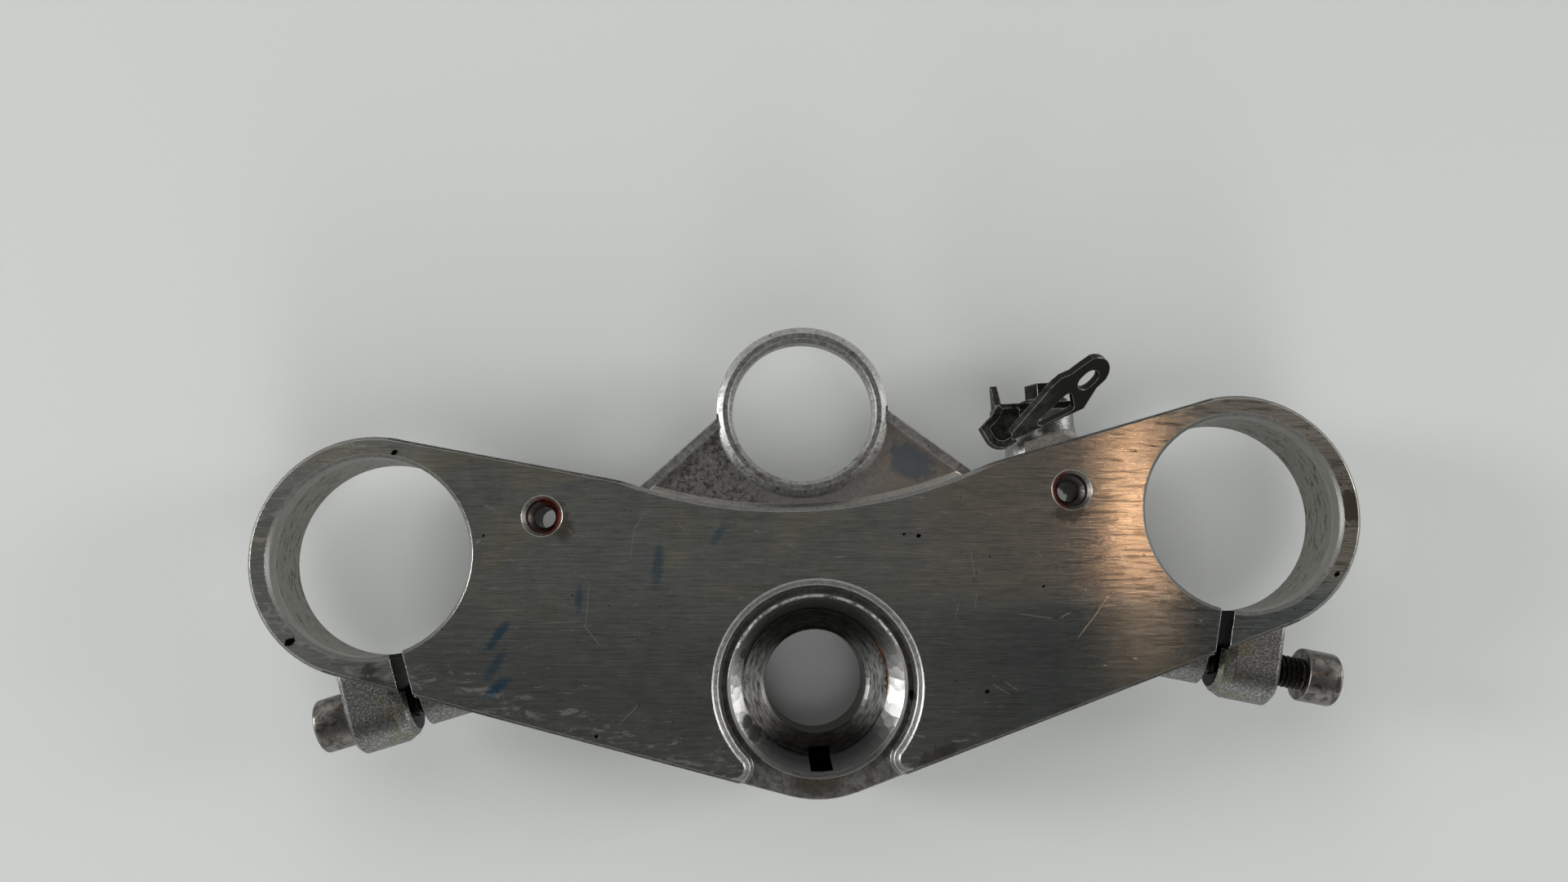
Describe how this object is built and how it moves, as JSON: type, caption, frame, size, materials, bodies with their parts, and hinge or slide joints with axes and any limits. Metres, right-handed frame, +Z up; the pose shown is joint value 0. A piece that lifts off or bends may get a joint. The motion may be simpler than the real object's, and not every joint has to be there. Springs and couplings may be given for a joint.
{
  "type": "motorcycle triple clamp",
  "caption": "Upper triple clamp of a motorcycle: cast aluminium yoke with fork clamps, stem boss and key switch ring, with pinch bolts and a black cable guide.",
  "frame": {"origin": "axis of the steering stem bore, in the underside of the stem boss", "axes": "+X to the rider's right along the fork line, +Y to the front of the motorcycle, +Z up along the steering stem"},
  "size_m": [0.27, 0.1155, 0.0451],
  "materials": {
    "cast_aluminium": "bare cast with brushed top face, scratched and stained",
    "screw_steel": "worn plated steel with dark stains",
    "black_paint": "satin black, worn at the edges"
  },
  "bodies": {
    "root": {"yoke": "cast_aluminium", "pinch_bolt_left": "screw_steel", "pinch_bolt_right": "screw_steel", "cable_guide": "black_paint", "guide_bolt": "black_paint"}
  },
  "joints": []
}
